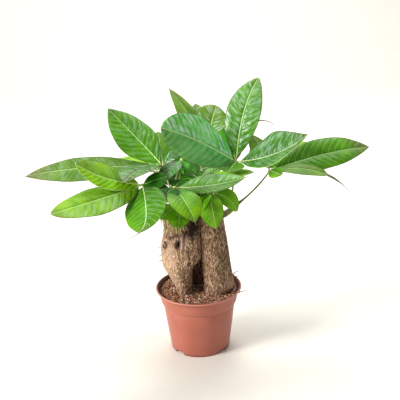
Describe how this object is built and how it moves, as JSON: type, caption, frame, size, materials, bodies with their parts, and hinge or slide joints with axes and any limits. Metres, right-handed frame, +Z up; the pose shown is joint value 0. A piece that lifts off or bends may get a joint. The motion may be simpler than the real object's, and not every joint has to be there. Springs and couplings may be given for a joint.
{
  "type": "potted money tree",
  "caption": "Money tree with cut stumps in a round nursery pot and compound leaves of long leaflets on short green shoots.",
  "frame": {"origin": "centre of the circle that the pot's feet stand on, at the surface it stands on", "axes": "+Z up along the pot's axis, -Y towards the plant's front, +X to the right seen from the front"},
  "size_m": [0.4618, 0.2717, 0.3764],
  "materials": {
    "pot": "thin moulded terracotta-coloured plastic, satin",
    "soil": "loose dark peat and coir with white grit",
    "bark": "grey-brown streaked bark with scars",
    "shoot": "green-brown young bark",
    "leaf": "waxy green leaf with pale veins"
  },
  "bodies": {
    "root": {"pot": "pot", "soil": "soil", "stump_left": "bark", "stump_right": "bark", "stump_back": "bark", "shoot_left": "shoot", "shoot_right": "shoot", "shoot_middle": "shoot", "shoot_back": "shoot", "leaf_left_front": "leaf", "leaf_left_upper": "leaf", "leaf_right_upper": "leaf", "leaf_right": "leaf", "leaf_front": "leaf", "leaf_low_right": "leaf", "leaf_middle": "leaf", "leaf_young": "leaf", "leaf_low_left": "leaf", "leaf_back_upper": "leaf", "leaf_centre": "leaf", "leaf_rear_left": "leaf", "leaf_rear_middle": "leaf", "leaf_rear_right": "leaf"}
  },
  "joints": []
}
